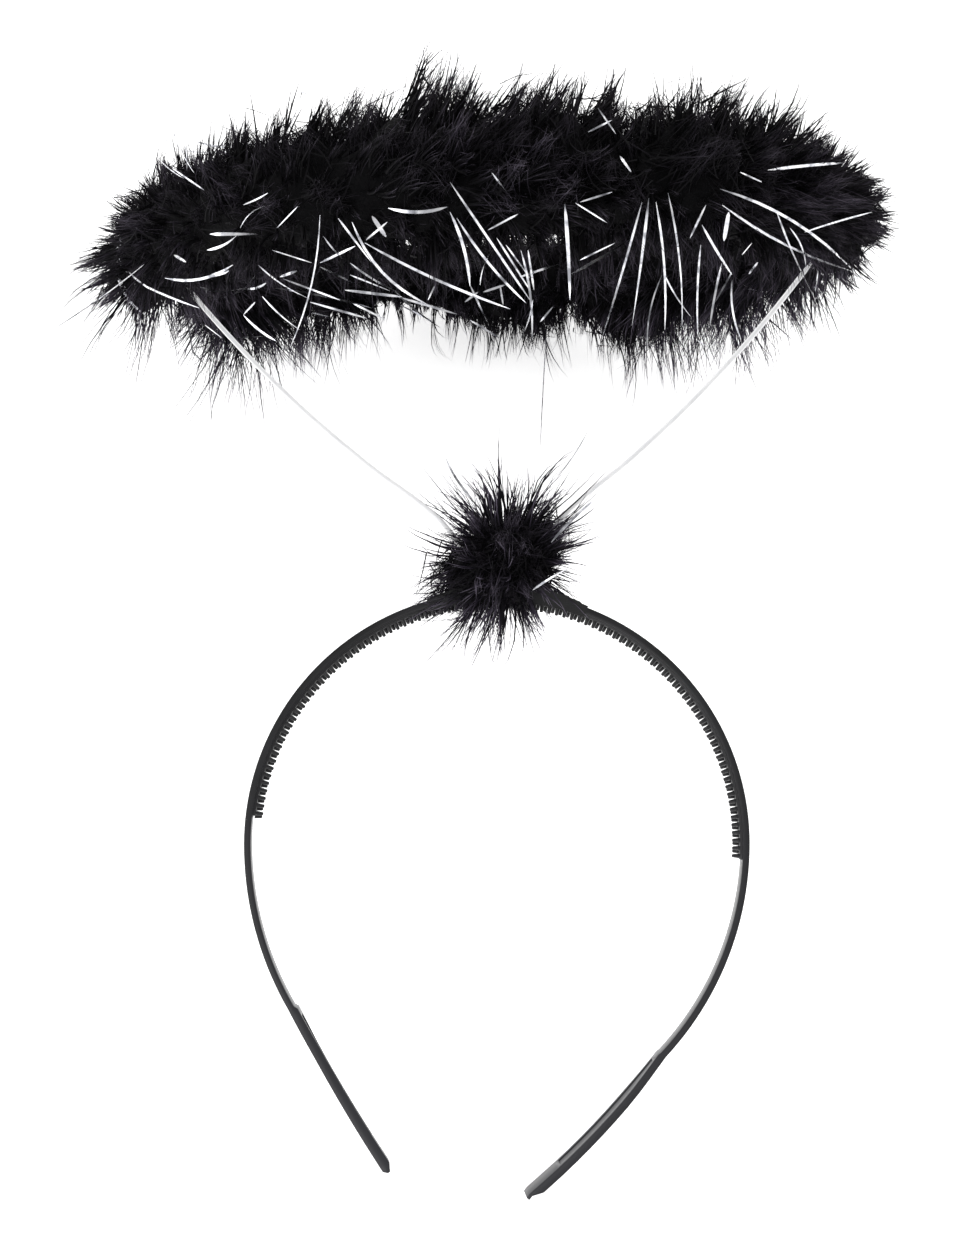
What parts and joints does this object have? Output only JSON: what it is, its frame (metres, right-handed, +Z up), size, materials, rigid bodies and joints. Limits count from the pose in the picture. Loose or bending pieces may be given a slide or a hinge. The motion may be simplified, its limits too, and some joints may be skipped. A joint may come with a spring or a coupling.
{
  "type": "halo headband",
  "caption": "Black plastic comb headband with a marabou tuft and a wire halo ring on two struts, wrapped in a tinselled marabou boa.",
  "frame": {"origin": "on the floor under the middle of the part's box, with the part lying on its back on the two band ends and the far side of the feather ring", "axes": "+Z up from the floor, +Y from the band ends towards the halo ring, +X to the right as seen from the front of the band"},
  "size_m": [0.2056, 0.273, 0.1905],
  "materials": {
    "band_plastic": "satin gloss, injection moulded",
    "wire_coating": "smooth milky coating",
    "wrap_tape": "matt",
    "marabou": "soft dyed down with silver tinsel"
  },
  "bodies": {
    "root": {"headband": "band_plastic", "halo_ring": "wire_coating", "left_strut": "wire_coating", "right_strut": "wire_coating", "binding_wrap": "wrap_tape", "feather_ring": "marabou", "feather_tuft": "marabou"}
  },
  "joints": []
}
